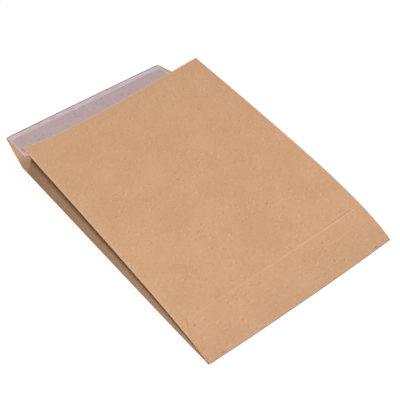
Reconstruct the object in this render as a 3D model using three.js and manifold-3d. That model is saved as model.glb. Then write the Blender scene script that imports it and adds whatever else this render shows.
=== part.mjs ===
// A gusseted paper envelope for A4 papers, lying open on its plain side with the flap laid flat.
// Millimetres, +Z up. In the paper's own frame x runs across the envelope, y runs from the
// bottom fold up to the flap's tip, and z is the height above the table.
import * as THREE from "three";
import { mergeVertices } from "three/addons/utils/BufferGeometryUtils.js";
import Module from "manifold-3d";

// Driving dimensions of the blank
const bodyWidth = 240;
const bodyLength = 332; // bottom fold to the flap's fold
const gussetWidth = 40; // unfolded, from side fold to side fold
const paperThickness = 0.2;
const throatDrop = 5; // the mouth is cut this far below the flap's fold
const flapHeight = 55;
const flapTaper = 10; // each end of the flap leans in by this much
const flapCornerRadius = 3;
const bottomFlapHeight = 48;
const bottomFlapInset = 0.8; // each end stands in from the side fold
const chamferWidth = 10; // the bottom flap's cut corners
const chamferHeight = 20;
const glueLapWidth = 15; // the lengthwise seam, inside along the right side

// Peel-and-seal closure on the flap
const linerHeight = 41;
const linerThickness = 0.1;
const linerEndMargin = 1; // in from the flap's tip corners
const linerTipMargin = 1; // down from the flap's tip
const adhesiveThickness = 0.1;
const adhesiveEndMargin = 4.5; // inside the liner
const adhesiveTipMargin = 5;
const adhesiveGripMargin = 13; // the liner's loose lower edge, for the fingers

// How the paper is folded and stands open
const foldRadius = 0.2; // middle of the paper at a side fold
const glueBite = 0.04; // glued layers share this much thickness
const footClearance = 0.3; // the tube's foot stands off the bottom fold
const mouthAngleLeft = THREE.MathUtils.degToRad(64); // a gusset half against the table
const mouthAngleRight = THREE.MathUtils.degToRad(77);
const bellyLeft = 0.28; // share of the opening that is gained close to the bottom
const bellyRight = 0.5;
const bellyReach = 39; // how far from the bottom that takes
const mouthSag = 8; // the facing panel dips between its sides

// Where the flaps grow out of the back panel, they reach into it this far and stand in from its side folds
const joinDepth = 3;
const joinInset = 1;

// Fineness of the facets
const foldSteps = 3;
const bottomFoldSteps = 6;
const cornerSteps = 4;
const facingSteps = 9;
const footRowShares = [0, 0.06, 0.16, 0.34, 0.62, 1]; // of the bottom flap's height
const upperRows = 7;

// Derived sizes
const halfPaper = paperThickness / 2;
const sideX = bodyWidth / 2 - halfPaper; // middle of the paper at the side folds
const panelX = sideX - foldRadius; // the flat panels end here
const throatY = bodyLength - throatDrop;
const tipY = bodyLength + flapHeight;
const gussetHalf = gussetWidth / 2 - 2 * foldRadius;
const layersHigh = 6 * foldRadius; // back panel to facing panel where the tube is flat
const bottomFoldRadius = (layersHigh + paperThickness - glueBite) / 2;
const bottomFoldY = bottomFoldRadius + halfPaper;
const footY = bottomFoldY + footClearance;

const wasm = await Module();
wasm.setup();

function solidFromTriangles(positions, triangles) {
  const vertProperties = new Float32Array(positions);
  const triVerts = new Uint32Array(triangles);
  return new wasm.Manifold(new wasm.Mesh({ numProp: 3, vertProperties, triVerts }));
}

function solidFromGeometry(geometry) {
  const bare = geometry.clone();
  bare.deleteAttribute("normal");
  bare.deleteAttribute("uv");
  const merged = mergeVertices(bare);
  return solidFromTriangles(merged.attributes.position.array, merged.index.array);
}

function geometryFromSolid(solid) {
  const mesh = solid.getMesh();
  const geometry = new THREE.BufferGeometry();
  geometry.setAttribute("position", new THREE.BufferAttribute(mesh.vertProperties, 3));
  geometry.setIndex(new THREE.BufferAttribute(mesh.triVerts, 1));
  geometry.computeVertexNormals();
  return geometry;
}

// The paper's side direction at a point of a sheet, lengthened at a bend so that both faces stay parallel
function bendNormal(rows, j, i, closed) {
  const row = rows[j];
  const count = row.length;
  const below = rows[Math.max(j - 1, 0)][i];
  const above = rows[Math.min(j + 1, rows.length - 1)][i];
  const along = above.clone().sub(below);
  const before = closed ? row[(i + count - 1) % count] : row[Math.max(i - 1, 0)];
  const after = closed ? row[(i + 1) % count] : row[Math.min(i + 1, count - 1)];
  const sides = [row[i].clone().sub(before), after.clone().sub(row[i])]
    .filter((step) => step.length() > 0)
    .map((step) => along.clone().cross(step).normalize());
  const first = sides[0];
  const last = sides[sides.length - 1];
  return first.clone().add(last).divideScalar(1 + first.dot(last));
}

// A closed solid of paper from rows of points along its middle. Each row crosses the folds, and a closed
// row comes back to its start. leansBack says which strips are split along their other diagonal.
function paperSolid(rows, closed, leansBack = () => false) {
  const count = rows[0].length;
  const positions = [];
  for (const share of [halfPaper, -halfPaper]) {
    rows.forEach((row, j) =>
      row.forEach((point, i) => {
        const moved = point.clone().addScaledVector(bendNormal(rows, j, i, closed), share);
        positions.push(moved.x, moved.y, moved.z);
      }),
    );
  }
  const layer = rows.length * count;
  const at = (face, j, i) => face * layer + j * count + (i % count);
  const triangles = [];
  const quad = (a, b, c, d, back) => {
    if (back) triangles.push(a, b, d, b, c, d);
    else triangles.push(a, b, c, a, c, d);
  };
  const strips = closed ? count : count - 1;
  for (let i = 0; i < strips; i += 1) {
    for (let j = 0; j + 1 < rows.length; j += 1) {
      const back = leansBack(i);
      quad(at(0, j, i), at(0, j + 1, i), at(0, j + 1, i + 1), at(0, j, i + 1), back);
      quad(at(1, j, i + 1), at(1, j + 1, i + 1), at(1, j + 1, i), at(1, j, i), !back);
    }
    const top = rows.length - 1;
    quad(at(0, 0, i), at(0, 0, i + 1), at(1, 0, i + 1), at(1, 0, i), false);
    quad(at(0, top, i + 1), at(0, top, i), at(1, top, i), at(1, top, i + 1), false);
  }
  for (let j = 0; !closed && j + 1 < rows.length; j += 1) {
    const end = count - 1;
    quad(at(0, j + 1, 0), at(0, j, 0), at(1, j, 0), at(1, j + 1, 0), false);
    quad(at(0, j, end), at(0, j + 1, end), at(1, j + 1, end), at(1, j, end), false);
  }
  return solidFromTriangles(positions, triangles);
}

function flatPlate(outline, bottom, thickness) {
  const settings = { depth: thickness, bevelEnabled: false, curveSegments: cornerSteps };
  const geometry = new THREE.ExtrudeGeometry(outline, settings);
  geometry.translate(0, 0, bottom);
  return geometry;
}

function rectangle(left, right, low, high) {
  const outline = new THREE.Shape();
  outline.moveTo(left, low);
  outline.lineTo(right, low);
  outline.lineTo(right, high);
  outline.lineTo(left, high);
  outline.closePath();
  return outline;
}

// How far the tube has opened at a row: 0 at the foot, 1 at the mouth
function openShare(row, belly) {
  const length = throatY - footY;
  const early = (distance) => 1 - Math.exp(-distance / bellyReach);
  const distance = row - footY;
  return (belly * early(distance)) / early(length) + ((1 - belly) * distance) / length;
}

// One gusset from the back panel to the facing panel, as steps inward from the side and up: a fold, the
// lower half, the crease, the upper half and a fold. Each half keeps its length while the angle opens.
function gussetLine(angle) {
  const line = [];
  const spot = new THREE.Vector2(foldRadius, 0);
  const arc = (heading, turn) => {
    const hand = Math.sign(turn);
    const centre = new THREE.Vector2(-Math.sin(heading), Math.cos(heading)).multiplyScalar(hand * foldRadius);
    centre.add(spot);
    for (let step = 0; step <= foldSteps; step += 1) {
      const facing = heading + (turn * step) / foldSteps;
      spot.set(Math.sin(facing), -Math.cos(facing)).multiplyScalar(hand * foldRadius).add(centre);
      line.push(spot.clone());
    }
  };
  const straight = (heading) => {
    spot.x += gussetHalf * Math.cos(heading);
    spot.y += gussetHalf * Math.sin(heading);
  };
  arc(Math.PI, angle - Math.PI);
  straight(angle);
  arc(angle, Math.PI - 2 * angle);
  straight(Math.PI - angle);
  arc(Math.PI - angle, angle - Math.PI);
  return line;
}

// The tube's section at a row: back panel, left gusset, facing panel, right gusset
function tubeSection(row) {
  const openLeft = openShare(row, bellyLeft);
  const openRight = openShare(row, bellyRight);
  const left = gussetLine(Math.asin(openLeft * Math.sin(mouthAngleLeft)));
  const right = gussetLine(Math.asin(openRight * Math.sin(mouthAngleRight)));
  const leftTop = left[left.length - 1].y;
  const rightTop = right[right.length - 1].y;
  const section = left.map((p) => new THREE.Vector2(p.x - sideX, p.y + halfPaper));
  const sag = (mouthSag * (openLeft + openRight)) / 2;
  for (let step = 1; step < facingSteps; step += 1) {
    const x = THREE.MathUtils.lerp(-panelX, panelX - glueLapWidth, step / (facingSteps - 1));
    const share = (x + panelX) / (2 * panelX);
    const dip = 4 * sag * share * (1 - share);
    section.push(new THREE.Vector2(x, THREE.MathUtils.lerp(leftTop, rightTop, share) - dip + halfPaper));
  }
  right.reverse().forEach((p) => section.push(new THREE.Vector2(sideX - p.x, p.y + halfPaper)));
  return section;
}

// Rows of the tube from the foot to the mouth. Every line of paper keeps its length from row to row, so
// what rises or turns inward draws back a little.
function tubeRows() {
  const stations = footRowShares.map((share) => THREE.MathUtils.lerp(footY, bottomFlapHeight, share));
  for (let step = 1; step <= upperRows; step += 1) {
    stations.push(THREE.MathUtils.lerp(bottomFlapHeight, throatY, step / upperRows));
  }
  const rows = [];
  stations.forEach((station, j) => {
    const section = tubeSection(station);
    rows.push(
      section.map((point, i) => {
        if (j === 0) return new THREE.Vector3(point.x, station, point.y);
        const last = rows[j - 1][i];
        const run = station - stations[j - 1];
        const advance = Math.sqrt(run ** 2 - (point.x - last.x) ** 2 - (point.y - last.z) ** 2);
        return new THREE.Vector3(point.x, last.y + advance, point.y);
      }),
    );
  });
  return rows;
}

const rows = tubeRows();
const gussetPoints = 3 * (foldSteps + 1);
const facingFirst = gussetPoints - 1;
const facingLast = facingFirst + facingSteps;
const facingRows = rows.map((row) => row.slice(facingFirst, facingLast + 1));

// A gusset's halves fan out from the bottom corner, so their strips split along the lines that start there
function fansBack(strip) {
  const leftUpperHalf = 2 * (foldSteps + 1) - 1;
  const rightLowerHalf = facingLast + leftUpperHalf;
  return strip === leftUpperHalf || strip === rightLowerHalf;
}

function tube() {
  return paperSolid(rows, true, fansBack);
}

// The back panel above the throat and the closing flap, with tapered ends and rounded tip corners
function closingFlap() {
  const shoulderX = bodyWidth / 2;
  const joinX = shoulderX - joinInset;
  const tipX = shoulderX - flapTaper;
  const lean = flapTaper / flapHeight;
  const cornerX = tipX + lean * flapCornerRadius;
  const outline = new THREE.Shape();
  outline.moveTo(-joinX, throatY - joinDepth);
  outline.lineTo(joinX, throatY - joinDepth);
  outline.lineTo(joinX, throatY);
  outline.lineTo(shoulderX, throatY);
  outline.lineTo(shoulderX, bodyLength);
  outline.lineTo(cornerX, tipY - flapCornerRadius);
  outline.quadraticCurveTo(tipX, tipY, tipX - flapCornerRadius, tipY);
  outline.lineTo(flapCornerRadius - tipX, tipY);
  outline.quadraticCurveTo(-tipX, tipY, -cornerX, tipY - flapCornerRadius);
  outline.lineTo(-shoulderX, bodyLength);
  outline.lineTo(-shoulderX, throatY);
  outline.lineTo(-joinX, throatY);
  outline.closePath();
  return solidFromGeometry(flatPlate(outline, 0, paperThickness));
}

// The back panel wraps the tube's foot and comes back up as a glued flap on the facing panel
function bottomFlap() {
  const flapRows = facingRows.slice(0, footRowShares.length);
  const paths = flapRows[0].map((foot, i) => {
    const path = [new THREE.Vector3(foot.x, footY + joinDepth, halfPaper)];
    for (let step = 0; step <= bottomFoldSteps; step += 1) {
      const turn = (Math.PI * step) / bottomFoldSteps;
      const y = bottomFoldY - bottomFoldRadius * Math.sin(turn);
      const z = halfPaper + bottomFoldRadius * (1 - Math.cos(turn));
      path.push(new THREE.Vector3(foot.x, y, z));
    }
    flapRows.forEach((row) => {
      const raised = row[i].clone();
      raised.z += paperThickness - glueBite;
      path.push(raised);
    });
    return path;
  });
  return paperSolid(paths, false).intersect(bottomFlapTrim());
}

// Plan outline that gives the bottom flap its ends and its cut corners
function bottomFlapTrim() {
  const endX = bodyWidth / 2 - bottomFlapInset;
  const cutX = endX - chamferWidth;
  const cutY = bottomFlapHeight - chamferHeight;
  const outline = new THREE.Shape();
  outline.moveTo(-endX, -bottomFoldRadius);
  outline.lineTo(endX, -bottomFoldRadius);
  outline.lineTo(endX, cutY);
  outline.lineTo(cutX, bottomFlapHeight);
  outline.lineTo(-cutX, bottomFlapHeight);
  outline.lineTo(-endX, cutY);
  outline.closePath();
  return solidFromGeometry(flatPlate(outline, -paperThickness, gussetWidth));
}

// The lengthwise seam: a second layer glued inside the facing panel, along its right side
function glueLap() {
  const depth = paperThickness - glueBite;
  const lowered = (point) => new THREE.Vector3(point.x, point.y, point.z - depth);
  return paperSolid(facingRows.map((row) => row.slice(-2).map(lowered)), false);
}

function envelopePaper() {
  const solid = tube().add(closingFlap()).add(bottomFlap()).add(glueLap());
  return geometryFromSolid(solid);
}

const linerHigh = tipY - linerTipMargin;
const linerLow = linerHigh - linerHeight;
const linerX = bodyWidth / 2 - flapTaper - linerEndMargin;

function adhesiveBand() {
  const endX = linerX - adhesiveEndMargin;
  const outline = rectangle(-endX, endX, linerLow + adhesiveGripMargin, linerHigh - adhesiveTipMargin);
  return flatPlate(outline, paperThickness, adhesiveThickness);
}

function releaseLiner() {
  const outline = rectangle(-linerX, linerX, linerLow, linerHigh);
  return flatPlate(outline, paperThickness + adhesiveThickness, linerThickness);
}

function addPiece(group, name, geometry, color, roughness) {
  const material = new THREE.MeshStandardMaterial({ color, roughness, metalness: 0 });
  const mesh = new THREE.Mesh(geometry, material);
  mesh.name = name;
  group.add(mesh);
}

// The origin lies under the middle of the envelope's full length
const paperFrame = new THREE.Group();
paperFrame.position.y = -tipY / 2;
addPiece(paperFrame, "folded_paper", envelopePaper(), 0xcfa37c, 0.85);
addPiece(paperFrame, "adhesive_band", adhesiveBand(), 0xb4a3a5, 0.4);
addPiece(paperFrame, "release_liner", releaseLiner(), 0xc8bccd, 0.45);

const envelope = new THREE.Group();
envelope.add(paperFrame);

export default envelope;
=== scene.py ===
import math

import bpy
import numpy as np
from mathutils import Matrix, Vector


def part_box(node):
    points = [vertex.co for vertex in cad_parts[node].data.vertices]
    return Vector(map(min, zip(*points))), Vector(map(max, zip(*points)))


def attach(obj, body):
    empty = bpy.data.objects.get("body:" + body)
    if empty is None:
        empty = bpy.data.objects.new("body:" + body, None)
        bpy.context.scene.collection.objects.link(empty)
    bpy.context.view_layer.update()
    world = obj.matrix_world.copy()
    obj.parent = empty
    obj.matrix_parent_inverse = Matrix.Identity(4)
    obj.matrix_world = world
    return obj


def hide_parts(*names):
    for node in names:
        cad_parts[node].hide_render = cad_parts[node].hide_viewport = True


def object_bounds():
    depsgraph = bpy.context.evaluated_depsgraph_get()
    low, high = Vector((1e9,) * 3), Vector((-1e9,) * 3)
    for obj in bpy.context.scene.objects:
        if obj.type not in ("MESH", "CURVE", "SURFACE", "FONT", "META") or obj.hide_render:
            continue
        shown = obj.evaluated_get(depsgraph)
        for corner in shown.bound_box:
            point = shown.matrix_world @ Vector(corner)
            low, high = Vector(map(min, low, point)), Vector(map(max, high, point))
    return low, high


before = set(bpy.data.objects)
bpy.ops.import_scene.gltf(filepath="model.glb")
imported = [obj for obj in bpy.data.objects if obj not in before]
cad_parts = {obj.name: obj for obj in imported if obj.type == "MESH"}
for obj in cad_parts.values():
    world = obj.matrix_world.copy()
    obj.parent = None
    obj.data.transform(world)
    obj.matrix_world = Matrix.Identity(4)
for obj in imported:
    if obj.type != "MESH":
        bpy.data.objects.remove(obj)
CAD_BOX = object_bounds()
PAPER_LOW, PAPER_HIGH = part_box("folded_paper")
BAND_LOW, BAND_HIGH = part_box("adhesive_band")
LINER_LOW, LINER_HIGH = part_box("release_liner")

bl_info = {
    "name": "Gusseted envelope",
    "version": (1, 0, 0),
    "blender": (4, 5, 0),
    "location": "3D View > Sidebar > Envelope",
    "description": "Folds a gusseted kraft envelope with its peel-and-seal strip and sets it on a white table",
    "category": "Object",
}

MM = 0.001
BLANK_MARGIN = 60 * MM  # keeps the bottom flap's place on the blank above 0
SEAM_GAP = 0.002 * MM  # points nearer than this are closed to one
SHARP_ANGLE = math.radians(42)
SENSOR = 36  # millimetres
TABLE_WIDTH = 6.0
TABLE_GAP = 0.1 * MM
TABLE_DIM, TABLE_PALE, TABLE_GLOW = 0.05, 0.9, 1.06
LEFT_LIGHT = (-0.56, 0.05, 1.5), 0.4  # place and width in metres
RIGHT_LIGHT = (0.5, -0.85, 1.5), 0.75


def length(name, description, default):
    """A length in metres."""
    return bpy.props.FloatProperty(
        name=name, description=description, default=default, subtype="DISTANCE", unit="LENGTH", precision=5
    )


def angle(name, description, degrees):
    return bpy.props.FloatProperty(
        name=name, description=description, default=math.radians(degrees), subtype="ANGLE", unit="ROTATION"
    )


def share(name, description, default):
    return bpy.props.FloatProperty(name=name, description=description, default=default, subtype="FACTOR")


def number(name, description, default):
    return bpy.props.FloatProperty(name=name, description=description, default=default)


def whole(name, description, default):
    return bpy.props.IntProperty(name=name, description=description, default=default)


def linear(level):
    """A display level from 0 to 255 as scene light."""
    level /= 255
    return level / 12.92 if level <= 0.04045 else ((level + 0.055) / 1.055) ** 2.4


def colour(name, description, red, green, blue):
    return bpy.props.FloatVectorProperty(
        name=name,
        description=description,
        default=(linear(red), linear(green), linear(blue)),
        subtype="COLOR",
        min=0,
        max=1,
    )


class EnvelopeSizes(bpy.types.PropertyGroup):
    """The blank: what is cut and where it is folded."""

    body_width: length("Body width", "Between the side folds", round(PAPER_HIGH.x - PAPER_LOW.x, 3))
    full_length: length("Full length", "Bottom fold to the flap's tip", round(PAPER_HIGH.y - PAPER_LOW.y, 3))
    flap_height: length("Flap height", "The flap's fold to its tip", 55 * MM)
    flap_taper: length("Flap taper", "Each end of the flap leans in by this much", 10 * MM)
    flap_corner: length("Flap corner", "Radius of the flap's tip corners", 3 * MM)
    throat_drop: length("Throat drop", "The mouth is cut this far below the flap's fold", 6 * MM)
    throat_slant: length("Throat slant", "The mouth's left end is cut this much lower", 3.2 * MM)
    gusset_notch: length("Gusset notch", "A gusset is cut this much lower still at the back panel", 5 * MM)
    gusset_width: length("Gusset width", "Unfolded, from side fold to side fold", 42 * MM)
    paper_thickness: length("Paper thickness", "Of the kraft paper", 0.2 * MM)
    bottom_flap: length("Bottom flap", "Height of the glued flap at the bottom", 48 * MM)
    bottom_inset: length("Bottom flap inset", "Each end stands in from the side fold", 0.4 * MM)
    chamfer_width: length("Chamfer width", "Of the bottom flap's cut corners", 10 * MM)
    chamfer_height: length("Chamfer height", "Of the bottom flap's cut corners", 20 * MM)
    stain_drop: length("Stain drop", "The adhesive shows through the liner this far below the band", 6.5 * MM)
    liner_trim: length("Liner trim", "The liner ends this much short of its cut length at the tip", 0.6 * MM)
    glue_lap: length("Glue lap", "Width of the lengthwise seam inside the right side", 15 * MM)


class EnvelopeLie(bpy.types.PropertyGroup):
    """How the folded paper stands open on the table."""

    mouth_angle_left: angle("Left mouth angle", "A left gusset half against the table at the mouth", 67)
    mouth_angle_right: angle("Right mouth angle", "A right gusset half against the table at the mouth", 74)
    belly_left: share("Left belly", "Share of the left opening that is gained close to the bottom", 0.32)
    belly_right: share("Right belly", "Share of the right opening that is gained close to the bottom", 0.44)
    reach_left: length("Left belly reach", "How far from the bottom the left belly takes", 50 * MM)
    reach_right: length("Right belly reach", "How far from the bottom the right belly takes", 54 * MM)
    corner_lift_left: length("Left corner lift", "The bottom's left corner stands off the table", 2.4 * MM)
    corner_lift_right: length("Right corner lift", "The bottom's right corner stands off the table", 4.4 * MM)
    side_lift_right: length("Right side lift", "The back panel's right side stands off the table", 5.7 * MM)
    lift_reach: length("Lift reach", "How far from the bottom a corner's lift fades", 50 * MM)
    sag: length("Sag", "The facing panel dips between its sides at the mouth", 6.3 * MM)
    sag_skew: share("Sag skew", "How much the dip leans to the left", 0.66)
    fold_radius_foot: length("Fold radius at the foot", "Middle of the paper at a pressed fold", 0.2 * MM)
    fold_radius_mouth: length("Fold radius at the mouth", "Middle of the paper at an opened fold", 0.7 * MM)
    flap_arch: length("Flap arch", "The flap's tip arches off the table in its middle", 0.5 * MM)
    flap_rise_left: length("Left flap rise", "The flap's left tip corner off the table", 0.1 * MM)
    flap_rise_right: length("Right flap rise", "The flap's right tip corner off the table", 1.5 * MM)
    edge_lift: length("Bottom flap edge lift", "The glued flap's free edge stands off the panel", 0.4 * MM)
    ripple_height: length("Ripple height", "Unevenness of the free paper", 0.9 * MM)
    ripple_size: length("Ripple size", "Length of one wave of that unevenness", 90 * MM)
    liner_lift: length("Liner lift", "The liner's free lower edge stands off the flap", 0.5 * MM)
    seed: whole("Seed", "Changes the ripples", 7)


class EnvelopeColours(bpy.types.PropertyGroup):
    """Colours of the three stocks."""

    kraft: colour("Kraft", "The paper's own brown", 210, 163, 124)
    kraft_dark: colour("Kraft clouds", "Where the pulp lies thicker", 201, 152, 112)
    # Besides the paper's own pale fibres, dark specks and cut edges, these three colours also paint light and shade:
    # the lit and shaded sides of flecks, a painted shadow line, painted shade at the tip and foot, and painted
    # highlights on folds and edges.
    kraft_fibre_and_highlight: colour("Light fibres", "Pale fibres in the paper", 226, 186, 150)
    kraft_speck_and_shade: colour("Dark specks", "Bark and shives in the paper", 150, 105, 70)
    kraft_cut_and_highlight: colour("Cut edge", "The paper's fuzzy cut edge and worn folds", 229, 190, 158)
    liner_rim: colour("Liner rim", "The liner where no adhesive lies under it", 212, 196, 209)
    liner_warm: colour("Warm liner rim", "The warmer patches of that", 203, 187, 185)
    liner_pink: colour("Liner over adhesive", "The warm part of its mottling", 194, 160, 165)
    liner_grey: colour("Liner mottling", "The grey part of its mottling", 185, 172, 167)
    adhesive: colour("Adhesive", "The pressure-sensitive band", 190, 172, 168)


class EnvelopeStudio(bpy.types.PropertyGroup):
    """Camera and light."""

    camera_turn: angle("Camera turn", "Round the envelope from its bottom edge", -38.53)
    camera_height: angle("Camera height", "Above the table", 46.32)
    camera_distance: length("Camera distance", "From the point it looks at", 942.8 * MM)
    camera_lens: number("Camera lens", "Focal length in millimetres on a 36 mm sensor", 872.03 / 400 * SENSOR)
    aim_x: length("Aim across", "The point that the camera looks at", 4.75 * MM)
    aim_y: length("Aim along", "The point that the camera looks at, from the bottom fold", 169.4 * MM)
    left_power: number("Left power", "Watts of the soft light on the left", 13.3)
    right_power: number("Right power", "Watts of the soft light on the right", 15.2)
    sky_strength: number("Sky strength", "Even light from all round", 0.02)
    floor_glow: share("Floor glow", "How much of the floor's white shows without its shadow", 0.85)


class Wire:
    """A shader socket in an expression. Adding, scaling and comparing wires adds the Math nodes."""

    def __init__(self, bench, socket):
        self.bench = bench
        self.socket = socket

    def __add__(self, other):
        return self.bench.math("ADD", self, other)

    def __sub__(self, other):
        return self.bench.math("SUBTRACT", self, other)

    def __rsub__(self, other):
        return self.bench.math("SUBTRACT", other, self)

    def __mul__(self, other):
        return self.bench.math("MULTIPLY", self, other)

    def __truediv__(self, other):
        return self.bench.math("DIVIDE", self, other)

    def __rtruediv__(self, other):
        return self.bench.math("DIVIDE", other, self)

    def __gt__(self, other):
        return self.bench.math("GREATER_THAN", self, other)

    def __lt__(self, other):
        return self.bench.math("LESS_THAN", self, other)

    __radd__ = __add__
    __rmul__ = __mul__


class NodeBench:
    """Adds nodes to one tree: their settings first, then the values or links of their sockets."""

    def __init__(self, tree):
        self.tree = tree

    def node(self, kind, settings=None, sockets=None):
        made = self.tree.nodes.new(kind)
        for name, value in (settings or {}).items():
            setattr(made, name, value)
        for name, value in (sockets or {}).items():
            if isinstance(value, Wire):
                self.tree.links.new(value.socket, made.inputs[name])
            else:
                made.inputs[name].default_value = value
        return made

    def wire(self, kind, settings=None, sockets=None, out=0):
        return Wire(self, self.node(kind, settings, sockets).outputs[out])

    def math(self, operation, first, second=0.0, third=0.0):
        return self.wire("ShaderNodeMath", {"operation": operation}, {0: first, 1: second, 2: third})

    def shifted(self, place, offset):
        return self.wire("ShaderNodeVectorMath", {"operation": "ADD"}, {0: place, 1: offset})

    def step(self, value, low, high):
        """0 below low, 1 above high and smooth between; low may be above high."""
        settings = {"interpolation_type": "SMOOTHSTEP"}
        sockets = {"Value": value, "From Min": low, "From Max": high}
        return self.wire("ShaderNodeMapRange", settings, sockets)

    def mix(self, factor, first, second):
        """Colours mixed by a factor."""
        settings = {"data_type": "RGBA", "clamp_factor": True}
        return self.wire("ShaderNodeMix", settings, {0: factor, 6: first, 7: second}, out=2)


def new_material(name):
    material = bpy.data.materials.new(name)
    material.use_nodes = True
    material.node_tree.nodes.clear()
    return material, NodeBench(material.node_tree)


def finish_material(bench, base, roughness, bump, fixed):
    """A Principled surface; fixed holds the sockets that are the same all over."""
    sockets = {"Base Color": base, "Roughness": roughness, "Normal": bump}
    shader = bench.wire("ShaderNodeBsdfPrincipled", None, {**sockets, **fixed})
    bench.node("ShaderNodeOutputMaterial", None, {"Surface": shader})


def opaque(tint):
    return (*tint, 1.0)


def noise(bench, place, size, detail=2.0, roughness=0.5):
    """Even noise from 0 to 1 with features of about this size in metres."""
    sockets = {"Vector": place, "Scale": 1 / size, "Detail": detail, "Roughness": roughness}
    return bench.wire("ShaderNodeTexNoise", {"noise_dimensions": "3D"}, sockets)


def flecks(bench, place, spacing, radius, chosen):
    """Round flecks, one in some cells: a mask with soft edges."""
    sockets = {"Vector": place, "Scale": 1 / spacing, "Randomness": 1.0}
    cells = bench.node("ShaderNodeTexVoronoi", {"voronoi_dimensions": "2D", "feature": "F1"}, sockets)
    distance = Wire(bench, cells.outputs["Distance"])
    lot = bench.wire("ShaderNodeSeparateColor", None, {"Color": Wire(bench, cells.outputs["Color"])})
    reach = radius / spacing
    return bench.step(distance, reach, reach * 0.3) * bench.step(lot, 1 - chosen, 1.0)


def fibres(bench, place, turn, seed):
    """Fine fibres along one direction of the blank: thin streaks of stretched noise."""
    turned = bench.wire(
        "ShaderNodeMapping",
        {"vector_type": "POINT"},
        {"Vector": place, "Location": (seed, seed * 0.37, 0), "Rotation": (0, 0, turn), "Scale": (300, 2200, 1)},
    )
    sockets = {"Vector": turned, "Scale": 1.0, "Detail": 1.0}
    streak = bench.wire("ShaderNodeTexNoise", {"noise_dimensions": "2D"}, sockets)
    return bench.step(streak, 0.62, 0.74)


def kraft_material(colours, lie):
    """Brown kraft paper, marked on the blank where its edges lie: painted highlights and painted shade on its edges,
    folds and flecks, and a painted shadow line beyond the bottom flap's edge.
    """
    material, bench = new_material("kraft_paper_brown")
    place = bench.wire("ShaderNodeTexCoord", out=3)
    blank = bench.wire("ShaderNodeUVMap", {"uv_map": "blank"})
    # This attribute carries fold wear together with painted highlights on the folds and edges.
    worn_and_highlit = bench.wire("ShaderNodeAttribute", {"attribute_name": "worn_and_highlit"}, out=2)
    rim = bench.wire("ShaderNodeAttribute", {"attribute_name": "rim"}, out=2)

    clouds = noise(bench, place, 34 * MM, 3.0, 0.55)
    formation = noise(bench, place, 3.2 * MM, 3.0, 0.6)
    grain = noise(bench, place, 0.7 * MM, 2.0)
    pale = fibres(bench, blank, 0.35, 1.3) + fibres(bench, blank, 1.9, 5.1) + fibres(bench, blank, -0.7, 8.6)
    # Raised flecks get a lighter spot with a darker spot set off to one side of it: a painted lit side and a painted
    # shaded side, as well as their bumps and hollows in the relief.
    bumps_and_lit_sides = flecks(bench, blank, 9 * MM, 1.5 * MM, 0.75)
    hollows_and_shaded_sides = flecks(bench, bench.shifted(blank, (1.4 * MM, 1.1 * MM, 0)), 9 * MM, 1.4 * MM, 0.75)
    aside = bench.shifted(blank, (0.731, 0.417, 0))
    bumps_and_lit_sides = bench.math("MAXIMUM", bumps_and_lit_sides, flecks(bench, aside, 10 * MM, 1.3 * MM, 0.7))
    below = bench.shifted(aside, (-0.4 * MM, -1.9 * MM, 0))
    hollows_and_shaded_sides = bench.math("MAXIMUM", hollows_and_shaded_sides, flecks(bench, below, 10 * MM, 1.5 * MM, 0.7))
    shives = flecks(bench, blank, 27 * MM, 1.0 * MM, 0.5)
    painted_edge_shadow, mouth_edge_highlight, painted_edge_shade = blank_marks(bench, blank, lie)

    cloudy = bench.step(clouds * 0.55 + formation * 0.45, 0.36, 0.64)
    base = bench.mix(cloudy * 0.65, opaque(colours.kraft), opaque(colours.kraft_dark))
    base = bench.mix((grain - 0.5) * 0.5 + 0.1, base, opaque(colours.kraft_fibre_and_highlight))
    base = bench.mix(pale * 0.3, base, opaque(colours.kraft_fibre_and_highlight))
    # Painted highlights on the flecks' lit sides and painted shade on their shaded sides.
    base = bench.mix(bumps_and_lit_sides * 0.55, base, opaque(colours.kraft_fibre_and_highlight))
    base = bench.mix(hollows_and_shaded_sides * 0.22, base, opaque(colours.kraft_speck_and_shade))
    base = bench.mix(shives * 0.7, base, opaque(colours.kraft_speck_and_shade))
    # Painted shadow beyond the bottom flap's edge.
    base = bench.mix(painted_edge_shadow * 0.9, base, opaque(colours.kraft_speck_and_shade))
    # Fold wear with painted highlights on folds and edges, and the painted highlight along the mouth's edge.
    base = bench.mix(bench.math("MAXIMUM", worn_and_highlit * 0.7, mouth_edge_highlight * 0.6), base, opaque(colours.kraft_cut_and_highlight))
    base = bench.mix(rim * (1 - painted_edge_shade) * 0.8, base, opaque(colours.kraft_cut_and_highlight))
    # Painted shade at the flap's tip and under the bottom fold.
    base = bench.mix(painted_edge_shade * 0.85, base, opaque(colours.kraft_speck_and_shade))

    relief = grain * 0.25 + formation * 0.5 + pale * 0.25 + bumps_and_lit_sides * 0.9 - hollows_and_shaded_sides * 0.6
    bump = bench.wire("ShaderNodeBump", None, {"Strength": 0.35, "Distance": 0.12 * MM, "Height": relief})
    roughness = 0.66 + formation * 0.16 - pale * 0.06
    finish_material(bench, base, roughness, bump, {"Specular IOR Level": 0.35})
    return material


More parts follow.
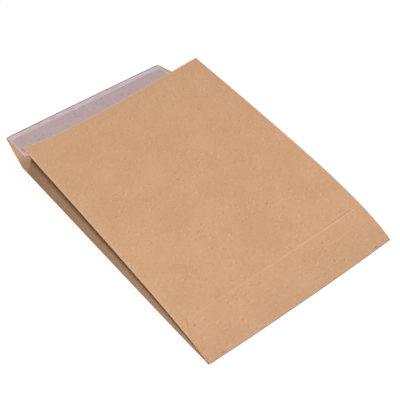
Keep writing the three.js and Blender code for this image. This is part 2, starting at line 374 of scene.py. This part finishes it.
def blank_marks(bench, blank, lie):
    """Masks on the blank: a painted shadow line beyond the bottom flap's edge, a painted highlight along the mouth's
    edge, and painted shade at the flap's tip and under the bottom fold.
    """
    sizes = lie.sizes
    spot = bench.node("ShaderNodeSeparateXYZ", None, {"Vector": blank})
    girth = Wire(bench, spot.outputs["X"])
    along = Wire(bench, spot.outputs["Y"]) - BLANK_MARGIN
    facing = girth < 2 * lie.side
    # The painted shadow line on the facing panel just beyond the bottom flap's free edge and chamfers, strongest
    # towards the right end.
    chamfer = bench.math("MAXIMUM", along - (sizes.bottom_flap - sizes.chamfer_height), 0.0)
    slope = sizes.chamfer_width / sizes.chamfer_height
    past_end = bench.math("ABSOLUTE", girth - lie.side) + chamfer * slope - (lie.side - sizes.bottom_inset)
    outside = bench.math("MAXIMUM", along - sizes.bottom_flap, past_end)
    at_right = bench.step(girth, 75 * MM, 12 * MM) * (along > sizes.bottom_flap)
    at_left = (girth > lie.side) * (past_end > 0) * 0.5
    edge_shadow_weight = at_right + at_left
    painted_edge_shadow = bench.step(outside, 0.0, 0.2 * MM) * bench.step(outside, 0.9 * MM, 0.3 * MM) * edge_shadow_weight * facing
    # A painted highlight in a thin band below the mouth's cut edge on the facing panel.
    mouth = lie.foot + lie.mouth - girth * (sizes.throat_slant / (2 * lie.side))
    mouth_edge_highlight = bench.step(mouth - along, 1.3 * MM, 0.2 * MM) * facing
    # Painted shade: a dark line along the flap's tip edge, and the underside of the bottom fold darkened, more towards
    # the right.
    tip = bench.step(along, sizes.full_length - 1.5 * MM, sizes.full_length - 1.0 * MM)
    back_middle = 3 * lie.side + sizes.gusset_width
    shade = 0.55 + bench.step(girth - back_middle, -lie.side / 2, lie.side) * 0.45
    under = bench.step(along, -2.0 * MM, -1.3 * MM) * bench.step(along, 3 * MM, 1 * MM) * shade
    return painted_edge_shadow, mouth_edge_highlight, bench.math("MAXIMUM", tip, under)


def liner_material(colours, lie):
    """Coated release paper: pale where it is loose, darker and mottled where the adhesive shows through."""
    material, bench = new_material("liner_release_paper")
    place = bench.wire("ShaderNodeTexCoord", out=3)
    spot = bench.node("ShaderNodeSeparateXYZ", None, {"Vector": place})
    across = bench.math("ABSOLUTE", Wire(bench, spot.outputs["X"]))
    along = Wire(bench, spot.outputs["Y"])
    mottle = noise(bench, place, 2.6 * MM, 3.0, 0.6)
    blots = noise(bench, place, 9 * MM, 2.0, 0.55)
    patches = noise(bench, place, 16 * MM, 1.0)
    ragged = (mottle - 0.5) * 3 * MM + (patches - 0.5) * 3 * MM
    lowest = BAND_LOW.y - lie.sizes.stain_drop
    inside_ends = bench.step(across + ragged, BAND_HIGH.x + 2.6 * MM, BAND_HIGH.x + 1.4 * MM)
    inside_tip = bench.step(along + ragged, BAND_HIGH.y - 1.2 * MM, BAND_HIGH.y - 3.2 * MM)
    inside_grip = bench.step(along - ragged, lowest - 0.8 * MM, lowest + 0.8 * MM)
    covered = inside_ends * inside_tip * inside_grip
    tone = bench.step(blots * 0.6 + mottle * 0.4, 0.38, 0.62)
    stuck = bench.mix(tone, opaque(colours.liner_grey), opaque(colours.liner_pink))
    loose = bench.mix(bench.step(patches, 0.42, 0.6), opaque(colours.liner_rim), opaque(colours.liner_warm))
    base = bench.mix(covered * 0.94, loose, stuck)
    base = bench.mix(bench.step(mottle, 0.56, 0.72) * 0.3, base, opaque(colours.liner_rim))
    pits = flecks(bench, place, 8 * MM, 2.6 * MM, 0.7)
    base = bench.mix(pits * covered * 0.28, base, opaque(colours.kraft_speck_and_shade))
    relief = mottle * covered + noise(bench, place, 0.5 * MM) * 0.15
    bump = bench.wire("ShaderNodeBump", None, {"Strength": 0.3, "Distance": 0.1 * MM, "Height": relief})
    finish_material(bench, base, 0.42 + mottle * 0.12, bump, {"Specular IOR Level": 0.5})
    return material


def adhesive_material(colours):
    material, bench = new_material("adhesive_tacky_band")
    place = bench.wire("ShaderNodeTexCoord", out=3)
    ribbing = noise(bench, place, 1.4 * MM, 2.0)
    base = bench.mix(ribbing, opaque(colours.adhesive), opaque(colours.liner_pink))
    bump = bench.wire("ShaderNodeBump", None, {"Strength": 0.4, "Distance": 0.1 * MM, "Height": ribbing})
    finish_material(bench, base, 0.3 + ribbing * 0.2, bump, {"Specular IOR Level": 0.5})
    return material


def smooth(value):
    """0 to 1 with flat ends."""
    value = np.clip(value, 0, 1)
    return value * value * (3 - 2 * value)


class PaperLie:
    """The middle of the folded paper, in metres in the part's frame, from the blank's sizes and its lie.

    A distance runs along the paper from the tube's foot towards the mouth.
    """

    FOLD_STEPS = 6
    HALF_STEPS = 6

    def __init__(self, sizes, lie):
        self.sizes = sizes
        self.lie = lie
        self.half_paper = sizes.paper_thickness / 2
        self.layer = sizes.paper_thickness * 1.15  # two glued layers, middle to middle
        self.side = sizes.body_width / 2 - self.half_paper
        self.start = PAPER_LOW.y
        self.flap_fold = sizes.full_length - sizes.flap_height
        self.bottom_radius = (6 * lie.fold_radius_foot + self.layer) / 2
        self.foot = self.bottom_radius + self.half_paper + 0.3 * MM
        self.mouth = self.flap_fold - sizes.throat_drop - self.foot
        self.shoulder = self.mouth - sizes.throat_slant - sizes.gusset_notch

    def open_left(self, distance):
        return self.opened(distance, self.lie.belly_left, self.lie.reach_left)

    def open_right(self, distance):
        return self.opened(distance, self.lie.belly_right, self.lie.reach_right)

    def opened(self, distance, belly, reach):
        """Share of the mouth's opening at a distance: 0 at the foot, 1 at the mouth."""
        early = (1 - np.exp(-distance / reach)) / (1 - math.exp(-self.mouth / reach))
        return belly * early + (1 - belly) * distance / self.mouth

    def fold_radius(self, opening):
        return self.lie.fold_radius_foot + (self.lie.fold_radius_mouth - self.lie.fold_radius_foot) * opening

    def gusset_line(self, opening, mouth_angle):
        """One gusset from the back panel to the facing panel: steps inward from the side and up, one row per point."""
        tilt = np.arcsin(opening * math.sin(mouth_angle))
        radius = self.fold_radius(opening)
        half = self.sizes.gusset_width / 2 - 2 * radius
        line = []
        spot = [radius + 0 * tilt, 0 * tilt]

        def arc(heading, turn):
            hand = np.where(turn >= 0, 1, -1)
            centre = [spot[0] - np.sin(heading) * hand * radius, spot[1] + np.cos(heading) * hand * radius]
            for step in range(self.FOLD_STEPS + 1):
                facing = heading + turn * step / self.FOLD_STEPS
                spot[0] = centre[0] + np.sin(facing) * hand * radius
                spot[1] = centre[1] - np.cos(facing) * hand * radius
                line.append(tuple(spot))

        def straight(heading):
            for step in range(1, self.HALF_STEPS + 1):
                spot[0] = spot[0] + half / self.HALF_STEPS * np.cos(heading)
                spot[1] = spot[1] + half / self.HALF_STEPS * np.sin(heading)
                if step < self.HALF_STEPS:
                    line.append(tuple(spot))

        arc(math.pi + 0 * tilt, tilt - math.pi)
        straight(tilt)
        arc(tilt, math.pi - 2 * tilt)
        straight(math.pi - tilt)
        arc(math.pi - tilt, tilt - math.pi)
        return line

    def gusset_size(self):
        return 3 * (self.FOLD_STEPS + 1) + 2 * (self.HALF_STEPS - 1)

    def base_left(self, distance):
        return self.lie.corner_lift_left * np.exp(-distance / self.lie.lift_reach)

    def base_right(self, distance):
        fading = np.exp(-distance / self.lie.lift_reach)
        return self.lie.corner_lift_right * fading + self.lie.side_lift_right * (1 - fading)

    def back_height(self, across, distance):
        """The back panel's lift off the table."""
        left = np.clip((-across / self.side - 0.33) / 0.67, 0, 1) ** 2
        right = np.clip(across / self.side, 0, 1) ** 2
        return self.half_paper + left * self.base_left(distance) + right * self.base_right(distance)

    def facing_height(self, across, distance):
        """The facing panel between its two sides, with its leaning dip."""
        left, right = self.open_left(distance), self.open_right(distance)
        low = self.gusset_line(left, self.lie.mouth_angle_left)[-1][1]
        high = self.gusset_line(right, self.lie.mouth_angle_right)[-1][1]
        part = (across + self.side) / (2 * self.side)
        dip = 4 * part * (1 - part) * (1 + self.lie.sag_skew * (1 - 2 * part))
        opening = low + (high - low) * part - self.lie.sag * (left + right) / 2 * dip
        held = np.exp(-distance / self.lie.lift_reach)
        base_left, base_right = self.base_left(distance), self.base_right(distance)
        spanned = self.half_paper + base_left + (base_right - base_left) * part
        base = spanned + (self.back_height(across, distance) - spanned) * held
        return base + opening + self.layer * part

    def flap_width(self, along):
        """Half the closing flap's width, with its taper and rounded tip corners."""
        sizes = self.sizes
        up = np.clip((along - self.flap_fold) / sizes.flap_height, 0, 1)
        corner = np.clip((along - sizes.full_length) / sizes.flap_corner + 1, 0, 1)
        return self.side - sizes.flap_taper * up - sizes.flap_corner * (1 - np.sqrt(1 - corner**2))

    def flap_height(self, across, along):
        """The closing flap's middle: it comes down from the back panel's lift and arches a little at its tip."""
        lie = self.lie
        part = across / (2 * self.side) + 0.5
        tip = lie.flap_arch * 4 * part * (1 - part) + lie.flap_rise_right * part + lie.flap_rise_left * (1 - part)
        settled = smooth((along - self.shoulder - self.foot) / (self.sizes.full_length - self.shoulder - self.foot))
        lifted = self.back_height(across, self.shoulder)
        ridge = 0.12 * MM * np.exp(-(((along - self.flap_fold) / (0.8 * MM)) ** 2))
        return lifted + (self.half_paper + tip - lifted) * settled + ridge


def spread(low, high, pitch, near):
    """Places from low to high about a pitch apart, with closer ones just inside each end."""
    inner = np.linspace(low + near[-1], high - near[-1], max(2, round((high - low) / pitch)))
    return np.concatenate([[low + step for step in near[:-1]], inner, [high - step for step in near[-2::-1]]])


class SheetMesh:
    """Points and faces of an open sheet, gathered row by row, with what each point carries."""

    def __init__(self):
        self.points = []
        self.blank = []
        self.loose = []
        self.worn_and_highlit = []
        self.faces = []

    def add_row(self, points, blank, loose, worn_and_highlit):
        first = len(self.points)
        self.points.extend(map(tuple, points))
        self.blank.extend(map(tuple, blank))
        self.loose.extend(loose)
        self.worn_and_highlit.extend(worn_and_highlit)
        return list(range(first, len(self.points)))

    def join_rows(self, lower, upper):
        for i in range(len(lower) - 1):
            self.faces.append((lower[i], upper[i], upper[i + 1], lower[i + 1]))

    def build(self, name):
        mesh = bpy.data.meshes.new(name)
        mesh.from_pydata(self.points, [], self.faces)
        mesh.validate()
        for label, values in (("loose", self.loose), ("worn_and_highlit", self.worn_and_highlit)):
            layer = mesh.attributes.new(label, "FLOAT", "POINT")
            layer.data.foreach_set("value", np.asarray(values, dtype=np.float32))
        corners = np.empty(len(mesh.loops), dtype=np.int32)
        mesh.loops.foreach_get("vertex_index", corners)
        layer = mesh.uv_layers.new(name="blank")
        layer.data.foreach_set("uv", np.asarray(self.blank, dtype=np.float32)[corners].ravel())
        piece = bpy.data.objects.new(name, mesh)
        bpy.context.scene.collection.objects.link(piece)
        return piece


def stock_tree():
    """Ripples a sheet's middle, gives it its thickness with closed edges and its material."""
    tree = bpy.data.node_groups.new("sheet_stock", "GeometryNodeTree")
    face = tree.interface
    entries = (
        ("Sheet", "NodeSocketGeometry"),
        ("Thickness", "NodeSocketFloat"),
        ("Ripple Height", "NodeSocketFloat"),
        ("Ripple Size", "NodeSocketFloat"),
        ("Seed", "NodeSocketFloat"),
        ("Stock", "NodeSocketMaterial"),
    )
    for name, kind in entries:
        face.new_socket(name=name, in_out="INPUT", socket_type=kind)
    face.new_socket(name="Sheet", in_out="OUTPUT", socket_type="NodeSocketGeometry")
    bench = NodeBench(tree)
    given = bench.node("NodeGroupInput")
    take = {name: Wire(bench, given.outputs[name]) for name, _ in entries}
    normal = bench.wire("GeometryNodeInputNormal")
    position = bench.wire("GeometryNodeInputPosition")
    loose = bench.wire("GeometryNodeInputNamedAttribute", {"data_type": "FLOAT"}, {"Name": "loose"})

    wave = bench.wire(
        "ShaderNodeTexNoise",
        {"noise_dimensions": "4D"},
        {"Vector": position, "W": take["Seed"], "Scale": 1 / take["Ripple Size"], "Detail": 1.5},
    )
    height = (wave - 0.5) * take["Ripple Height"] * loose
    ripple = bench.wire("ShaderNodeVectorMath", {"operation": "SCALE"}, {"Vector": normal, "Scale": height})
    rippled = bench.wire("GeometryNodeSetPosition", None, {"Geometry": take["Sheet"], "Offset": ripple})
    down = bench.wire(
        "ShaderNodeVectorMath", {"operation": "SCALE"}, {"Vector": normal, "Scale": take["Thickness"] * -0.5}
    )
    lower = bench.wire("GeometryNodeSetPosition", None, {"Geometry": rippled, "Offset": down})
    extrude = bench.node(
        "GeometryNodeExtrudeMesh",
        {"mode": "FACES"},
        {"Mesh": lower, "Offset Scale": take["Thickness"], "Individual": False},
    )
    raised, edge = (Wire(bench, extrude.outputs[name]) for name in ("Mesh", "Side"))
    rimmed = bench.wire(
        "GeometryNodeStoreNamedAttribute",
        {"data_type": "FLOAT", "domain": "FACE"},
        {"Geometry": raised, "Name": "rim", "Value": edge},
    )
    under = bench.wire("GeometryNodeFlipFaces", None, {"Mesh": lower})
    join = bench.node("GeometryNodeJoinGeometry")
    tree.links.new(under.socket, join.inputs[0])
    tree.links.new(rimmed.socket, join.inputs[0])
    joined = Wire(bench, join.outputs[0])
    closed = bench.wire("GeometryNodeMergeByDistance", None, {"Geometry": joined, "Distance": SEAM_GAP})
    bare = bench.wire("GeometryNodeRemoveAttribute", None, {"Geometry": closed, "Name": "loose"})
    realized = bench.wire("GeometryNodeRealizeInstances", None, {"Geometry": bare})
    coated = bench.wire("GeometryNodeSetMaterial", None, {"Geometry": realized, "Material": take["Stock"]})
    bench.node("NodeGroupOutput", None, {"Sheet": coated})
    return tree


def make_stock(piece, thickness, ripple_height, lie, material):
    """Runs the sheet tree on a piece and leaves a plain closed mesh in its place."""
    tree = bpy.data.node_groups.get("sheet_stock") or stock_tree()
    modifier = piece.modifiers.new("sheet_stock", "NODES")
    modifier.node_group = tree
    values = {
        "Thickness": thickness,
        "Ripple Height": ripple_height,
        "Ripple Size": lie.ripple_size,
        "Seed": float(lie.seed),
        "Stock": material,
    }
    for item in tree.interface.items_tree:
        if item.in_out == "INPUT" and item.name in values:
            modifier[item.identifier] = values[item.name]
    graph = bpy.context.evaluated_depsgraph_get()
    graph.update()
    made = bpy.data.meshes.new_from_object(piece.evaluated_get(graph), depsgraph=graph)
    piece.modifiers.remove(modifier)
    middle = piece.data
    piece.data = made
    bpy.data.meshes.remove(middle)
    made.name = piece.name
    made.shade_smooth()
    made.set_sharp_from_angle(angle=SHARP_ANGLE)
    if not made.polygons:
        raise RuntimeError(f"{piece.name} came out with no faces")


ROWS = 72
FLAP_ROWS = 22
BOTTOM_TURN = 8
BOTTOM_ROWS = 26
PITCH = 6 * MM
FOLD_NEAR = (0.6 * MM, 1.6 * MM, 4 * MM)
TURN_SETBACK = 0.65 * MM  # the bottom turn stands this far out from the tube's foot


def tube_columns(lie):
    """Round the tube: facing panel from its right edge, left gusset, back panel, right gusset, glue lap.

    Each column is (place function of distance, length to the mouth, loose, worn, group).
    """
    sizes = lie.sizes
    side = lie.side
    count = lie.gusset_size()
    steps = lie.FOLD_STEPS + 1
    columns = []

    def mouth_at(across):
        return lie.mouth - sizes.throat_slant * (0.5 - across / (2 * side))

    def panel(across, height, end, loose, group, worn_and_highlit=0.0):
        columns.append((lambda d, x=across: (x + 0 * d, height(x, d)), end, loose, worn_and_highlit, group))

    facing = spread(-side, side, PITCH, FOLD_NEAR)[::-1]
    for across in [side - 0.05 * MM, *facing]:
        free = smooth((side - sizes.glue_lap - across) / (30 * MM)) * smooth((across + side) / (25 * MM))
        # A painted highlight on the facing panel beside its left fold, fading over about 2 mm.
        painted_fold_highlight = 0.8 * math.exp(-(((across + side) / (2 * MM)) ** 2))
        panel(across, lie.facing_height, mouth_at(across), free, "facing", painted_fold_highlight)

    def gusset(k, hand, opening, mouth_angle, base):
        part = k / (count - 1)
        end = mouth_at(hand * side)
        if part < 0.5:
            end = lie.shoulder + (end - lie.shoulder) * 2 * part
        fold = k < steps or k >= count - steps

        def place(d):
            inward, up = lie.gusset_line(opening(d), mouth_angle)[k]
            return hand * (side - inward), lie.half_paper + up + base(d)

        # Fold wear and a painted highlight across each gusset fold's arc.
        worn_and_highlit = 0.0
        if fold:
            within = k if k < steps else k - (count - steps)
            worn_and_highlit = math.sin(math.pi * within / (steps - 1))
        columns.append((place, end, 0.0, worn_and_highlit, "gusset"))

    for k in range(count - 1, -1, -1):
        gusset(k, -1, lie.open_left, lie.lie.mouth_angle_left, lie.base_left)
    for across in spread(-side, side, PITCH, FOLD_NEAR):
        panel(across, lie.back_height, lie.shoulder, 0.0, "back")
    for k in range(count):
        gusset(k, 1, lie.open_right, lie.lie.mouth_angle_right, lie.base_right)
    for across in np.linspace(side - 1.5 * MM, side - sizes.glue_lap, 5):
        panel(across, lambda x, d: lie.facing_height(x, d) - lie.layer, mouth_at(side), 0.0, "lap")
    return columns


def tube_rows(lie, columns):
    """Points of the tube by row and column. Every line of paper keeps its length, so what rises draws back."""
    steps = np.linspace(0, 1, ROWS) ** 1.5
    points = np.empty((ROWS, len(columns), 3))
    flat = np.empty((ROWS, len(columns)))
    for i, (place, end, _, _, _) in enumerate(columns):
        distance = steps * end
        across, height = place(distance)
        advance = np.diff(distance) ** 2 - np.diff(across) ** 2 - np.diff(height) ** 2
        if (advance <= 0).any():
            raise RuntimeError("The paper is stretched: a fold opens faster than its length allows")
        points[:, i, 0] = across
        points[:, i, 1] = lie.start + lie.foot + np.concatenate([[0], np.cumsum(np.sqrt(advance))])
        points[:, i, 2] = height
        flat[:, i] = distance
    return points, flat


def facing_surface(points, columns):
    """Returns a function of a tube row and places across it that gives the facing panel's y and z there."""
    picked = [i for i, column in enumerate(columns) if column[4] == "facing"][::-1]
    across = points[0, picked, 0]

    def row(j, wanted):
        y = np.interp(wanted, across, points[j, picked, 1])
        z = np.interp(wanted, across, points[j, picked, 2])
        return y, z

    return row


def bottom_flap_rows(lie, points, flat, columns, strip):
    """The back panel's bottom flap: round the foot and up on the facing panel, from its free edge to the foot."""
    sizes = lie.sizes
    base = points[0, strip]
    reach = np.abs(base[:, 0]).max()
    part = base[:, 0] / reach
    radius = lie.bottom_radius + lie.layer * (1 + part) / 4  # the facing panel lies higher over the glue lap
    surface = facing_surface(points, columns)
    steps = flat[:, 0]
    rows = []
    for turn in np.linspace(0, math.pi, BOTTOM_TURN + 1)[1:]:
        y = lie.start + lie.foot - TURN_SETBACK - lie.bottom_radius * math.sin(turn)
        z = base[:, 2] + radius * (1 - math.cos(turn))
        width = reach - sizes.bottom_inset * turn / math.pi
        place = np.column_stack([part * width, np.full_like(part, y), z])
        # math.sin(turn) paints a highlight round the bottom fold.
        rows.append((place, -lie.bottom_radius * turn, math.sin(turn)))
    end = sizes.bottom_flap - lie.foot
    for distance in [*np.linspace(0, end - 2 * MM, BOTTOM_ROWS)[1:], end - 1.1 * MM, end - 0.5 * MM, end]:
        along = distance + lie.foot
        cut = np.clip((along - sizes.bottom_flap + sizes.chamfer_height) / sizes.chamfer_height, 0, 1)
        width = reach - sizes.bottom_inset - sizes.chamfer_width * cut
        across = part * width
        after = np.searchsorted(steps, distance)
        blend = (distance - steps[after - 1]) / (steps[after] - steps[after - 1])
        y0, z0 = surface(after - 1, across)
        y1, z1 = surface(after, across)
        y, z = y0 + (y1 - y0) * blend, z0 + (z1 - z0) * blend
        slope = (z1 - z0) / (y1 - y0)
        free = smooth((along - sizes.bottom_flap + 7 * MM) / (7 * MM))
        rightward = smooth(0.5 + across / (2 * lie.side)) ** 3
        off = lie.layer + lie.lie.edge_lift * free * (0.15 + 0.85 * rightward)
        lean = 1 / np.sqrt(1 + slope**2)
        flat_at = -lie.bottom_radius * math.pi - distance
        # A painted highlight along the bottom flap's free edge, stronger towards the right.
        row_wear_and_highlit = smooth(1 + (distance - end) / (2 * MM)) * (0.6 + 0.4 * part)
        place = np.column_stack([across, y - off * slope * lean, z + off * lean])
        rows.append((place, flat_at, row_wear_and_highlit))
    return rows[::-1]


def closing_flap_rows(lie, points, strip):
    """The closing flap: rows above the shoulder, with closer rows at its fold and its rounded tip."""
    sizes = lie.sizes
    base = points[-1, strip]
    part = base[:, 0] / np.abs(base[:, 0]).max()
    low = lie.shoulder + lie.foot
    corner = sizes.full_length - sizes.flap_corner * (1 - np.sin(np.linspace(0, math.pi / 2, 6)))
    fold = lie.flap_fold + np.array([-1.6, -0.8, 0, 0.8, 1.6]) * MM
    below = np.linspace(low, fold[0], 5)[1:-1]
    above = np.linspace(fold[-1], corner[0], FLAP_ROWS)[1:-1]
    rows = []
    for along in [*below, *fold, *above, *corner]:
        across = part * lie.flap_width(along)
        height = lie.flap_height(across, along)
        crease = math.exp(-(((along - lie.flap_fold) / (0.6 * MM)) ** 2))
        place = np.column_stack([across, np.full_like(across, lie.start + along), height])
        rows.append((place, along, crease * 0.5))
    return rows


def folded_sheet(lie):
    """The whole blank as one open sheet along its middle."""
    columns = tube_columns(lie)
    points, flat = tube_rows(lie, columns)
    girth = np.concatenate([[0], np.cumsum(np.linalg.norm(np.diff(points[-1], axis=0), axis=1))])
    loose = np.array([column[2] for column in columns])
    worn_and_highlit = np.array([column[3] for column in columns])
    sheet = SheetMesh()
    sizes = lie.sizes
    first_back = next(i for i, column in enumerate(columns) if column[4] == "back")
    last_back = max(i for i, column in enumerate(columns) if column[4] == "back")
    strip = list(range(first_back - 1, last_back + 2))
    centre = girth[strip].mean()

    def side_rows(rows):
        made = []
        for place, along, row_wear_and_highlit in rows:
            blank = np.column_stack([centre + place[:, 0], np.full(len(place), along + BLANK_MARGIN)])
            made.append(sheet.add_row(place, blank, np.zeros(len(place)), np.broadcast_to(row_wear_and_highlit, len(place))))
        return made

    bottom = side_rows(bottom_flap_rows(lie, points, flat, columns, strip))
    tube = []
    for j in range(ROWS):
        above = smooth((flat[j, 0] - sizes.bottom_flap) / (60 * MM))
        blank = np.column_stack([girth, flat[j] + lie.foot + BLANK_MARGIN])
        opened = smooth(flat[j, 0] / (20 * MM))
        tube.append(sheet.add_row(points[j], blank, loose * above, worn_and_highlit * (0.4 + 0.6 * opened)))
    flap = side_rows(closing_flap_rows(lie, points, strip))

    for lower, upper in zip(tube, tube[1:]):
        sheet.join_rows(lower, upper)
    foot = [tube[0][i] for i in strip]
    mouth = [tube[-1][i] for i in strip]
    for rows in ([*bottom, foot], [mouth, *flap]):
        for lower, upper in zip(rows, rows[1:]):
            sheet.join_rows(lower, upper)
    return sheet


def laid_plate(lie, low, high, offset, lift):
    """A rectangle laid on the open flap, offset from the flap's middle; lift raises it by its place."""
    sheet = SheetMesh()
    rows = []
    across = np.linspace(low.x, high.x, 61)
    for y in np.linspace(low.y, high.y, 15):
        height = lie.flap_height(across, y - lie.start) + offset + lift(across, y)
        place = np.column_stack([across, np.full_like(across, y), height])
        rows.append(sheet.add_row(place, place[:, :2], np.zeros(len(place)), np.zeros(len(place))))
    for lower, upper in zip(rows, rows[1:]):
        sheet.join_rows(upper, lower)
    return sheet


def settle(piece, node):
    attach(piece, "root")
    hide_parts(node)


class ENVELOPE_OT_fold_paper(bpy.types.Operator):
    """Fold the kraft sheet: panels, gussets, closing flap and glued bottom flap"""

    bl_idname = "envelope.fold_paper"
    bl_label = "Fold the paper"

    def execute(self, context):
        scene = context.scene
        lie = PaperLie(scene.envelope_sizes, scene.envelope_lie)
        piece = folded_sheet(lie).build("kraft_sheet")
        material = kraft_material(scene.envelope_colours, lie)
        make_stock(piece, lie.sizes.paper_thickness, lie.lie.ripple_height, lie.lie, material)
        settle(piece, "folded_paper")
        return {"FINISHED"}


class ENVELOPE_OT_lay_adhesive(bpy.types.Operator):
    """Lay the adhesive band on the closing flap"""

    bl_idname = "envelope.lay_adhesive"
    bl_label = "Lay the adhesive"

    def execute(self, context):
        scene = context.scene
        lie = PaperLie(scene.envelope_sizes, scene.envelope_lie)
        thickness = BAND_HIGH.z - BAND_LOW.z
        offset = lie.half_paper + thickness / 2
        piece = laid_plate(lie, BAND_LOW, BAND_HIGH, offset, lambda x, y: 0).build("seal_adhesive")
        make_stock(piece, thickness, 0.0, lie.lie, adhesive_material(scene.envelope_colours))
        settle(piece, "adhesive_band")
        return {"FINISHED"}


class ENVELOPE_OT_lay_liner(bpy.types.Operator):
    """Lay the release liner over the adhesive, its lower edge free for the fingers"""

    bl_idname = "envelope.lay_liner"
    bl_label = "Lay the liner"

    def execute(self, context):
        scene = context.scene
        lie = PaperLie(scene.envelope_sizes, scene.envelope_lie)
        thickness = LINER_HIGH.z - LINER_LOW.z
        offset = lie.half_paper + (BAND_HIGH.z - BAND_LOW.z) + thickness / 2
        grip = BAND_LOW.y - LINER_LOW.y

        def lift(across, y):
            free = max(0, (BAND_LOW.y - y) / grip)
            return lie.lie.liner_lift * free**2 * (1 + 0.4 * np.sin(across / (37 * MM) + 1))

        high = LINER_HIGH - Vector((0, lie.sizes.liner_trim, 0))
        piece = laid_plate(lie, LINER_LOW, high, offset, lift).build("seal_liner")
        make_stock(piece, thickness, 0.0, lie.lie, liner_material(scene.envelope_colours, lie))
        settle(piece, "release_liner")
        return {"FINISHED"}


def seen_directly(bench):
    """1 for rays that show the white surroundings: from the camera, or by reflection or through glass."""
    path = bench.node("ShaderNodeLightPath")
    names = ("Is Camera Ray", "Is Glossy Ray", "Is Transmission Ray")
    camera, glossy, through = (Wire(bench, path.outputs[name]) for name in names)
    return bench.math("MAXIMUM", bench.math("MAXIMUM", camera, glossy), through)


def grey(level):
    return (level, level, level, 1)


def white_floor(studio):
    """A table that shows white with a faint shadow, and sends little light back under the paper."""
    half, top = TABLE_WIDTH / 2, CAD_BOX[0].z - TABLE_GAP
    corners = [(-half, -half, top), (half, -half, top), (half, half, top), (-half, half, top)]
    mesh = bpy.data.meshes.new("white_table")
    mesh.from_pydata(corners, [], [(0, 1, 2, 3)])
    floor = bpy.data.objects.new("white_table", mesh)
    bpy.context.scene.collection.objects.link(floor)
    material, bench = new_material("white_table_top")
    dim = bench.wire("ShaderNodeBsdfDiffuse", None, {"Color": grey(TABLE_DIM)})
    pale = bench.wire("ShaderNodeBsdfDiffuse", None, {"Color": grey(TABLE_PALE)})
    glow = bench.wire("ShaderNodeEmission", None, {"Color": grey(1), "Strength": TABLE_GLOW})
    shown = bench.wire("ShaderNodeMixShader", None, {0: studio.floor_glow, 1: pale, 2: glow})
    mixed = bench.wire("ShaderNodeMixShader", None, {0: seen_directly(bench), 1: dim, 2: shown})
    bench.node("ShaderNodeOutputMaterial", None, {"Surface": mixed})
    mesh.materials.append(material)


def white_sky(studio):
    """White where it is seen, and a weak even light elsewhere."""
    world = bpy.data.worlds.new("white_sky")
    world.use_nodes = True
    world.node_tree.nodes.clear()
    bench = NodeBench(world.node_tree)
    strength = studio.sky_strength + seen_directly(bench) * (1 - studio.sky_strength)
    sky = bench.wire("ShaderNodeBackground", None, {"Color": grey(1), "Strength": strength})
    bench.node("ShaderNodeOutputWorld", None, {"Surface": sky})
    bpy.context.scene.world = world


def soft_light(name, place, width, power):
    """A round soft light that points at the middle of the envelope."""
    lamp = bpy.data.lights.new(name, "AREA")
    lamp.shape = "DISK"
    lamp.size = width
    lamp.energy = power
    light = bpy.data.objects.new(name, lamp)
    light.location = place
    light.rotation_euler = (-Vector(place)).to_track_quat("-Z", "Y").to_euler()
    bpy.context.scene.collection.objects.link(light)


def place_camera(studio):
    turn, rise = studio.camera_turn, studio.camera_height
    back = Vector((math.sin(turn) * math.cos(rise), -math.cos(turn) * math.cos(rise), math.sin(rise)))
    right = Vector((math.cos(turn), math.sin(turn), 0))
    up = back.cross(right)
    aim = Vector((studio.aim_x, PAPER_LOW.y + studio.aim_y, 0))
    lens = bpy.data.cameras.new("photo_camera")
    lens.lens = studio.camera_lens
    lens.sensor_width = SENSOR
    camera = bpy.data.objects.new("photo_camera", lens)
    camera.matrix_world = Matrix.Translation(aim + back * studio.camera_distance) @ Matrix(
        (right, up, back)
    ).transposed().to_4x4()
    bpy.context.scene.collection.objects.link(camera)
    bpy.context.scene.camera = camera


class ENVELOPE_OT_set_stage(bpy.types.Operator):
    """Set up the white table, the soft light and the camera"""

    bl_idname = "envelope.set_stage"
    bl_label = "Set the stage"

    def execute(self, context):
        studio = context.scene.envelope_studio
        white_floor(studio)
        white_sky(studio)
        soft_light("left_light", *LEFT_LIGHT, studio.left_power)
        soft_light("right_light", *RIGHT_LIGHT, studio.right_power)
        place_camera(studio)
        context.scene.view_settings.view_transform = "Standard"
        return {"FINISHED"}


class ENVELOPE_PT_tools(bpy.types.Panel):
    """Lists the steps that make the envelope"""

    bl_label = "Gusseted envelope"
    bl_idname = "ENVELOPE_PT_tools"
    bl_space_type = "VIEW_3D"
    bl_region_type = "UI"
    bl_category = "Envelope"

    def draw(self, context):
        for step in STEPS:
            self.layout.operator(step.bl_idname)


STEPS = (ENVELOPE_OT_fold_paper, ENVELOPE_OT_lay_adhesive, ENVELOPE_OT_lay_liner, ENVELOPE_OT_set_stage)
GROUPS = {
    "envelope_sizes": EnvelopeSizes,
    "envelope_lie": EnvelopeLie,
    "envelope_colours": EnvelopeColours,
    "envelope_studio": EnvelopeStudio,
}


def register():
    for cls in (*GROUPS.values(), *STEPS, ENVELOPE_PT_tools):
        bpy.utils.register_class(cls)
    for name, group in GROUPS.items():
        setattr(bpy.types.Scene, name, bpy.props.PointerProperty(type=group))


def unregister():
    for name in GROUPS:
        delattr(bpy.types.Scene, name)
    for cls in (ENVELOPE_PT_tools, *reversed(STEPS), *GROUPS.values()):
        bpy.utils.unregister_class(cls)


def main():
    register()
    bpy.ops.envelope.fold_paper()
    bpy.ops.envelope.lay_adhesive()
    bpy.ops.envelope.lay_liner()
    bpy.ops.envelope.set_stage()


if __name__ == "__main__":
    main()
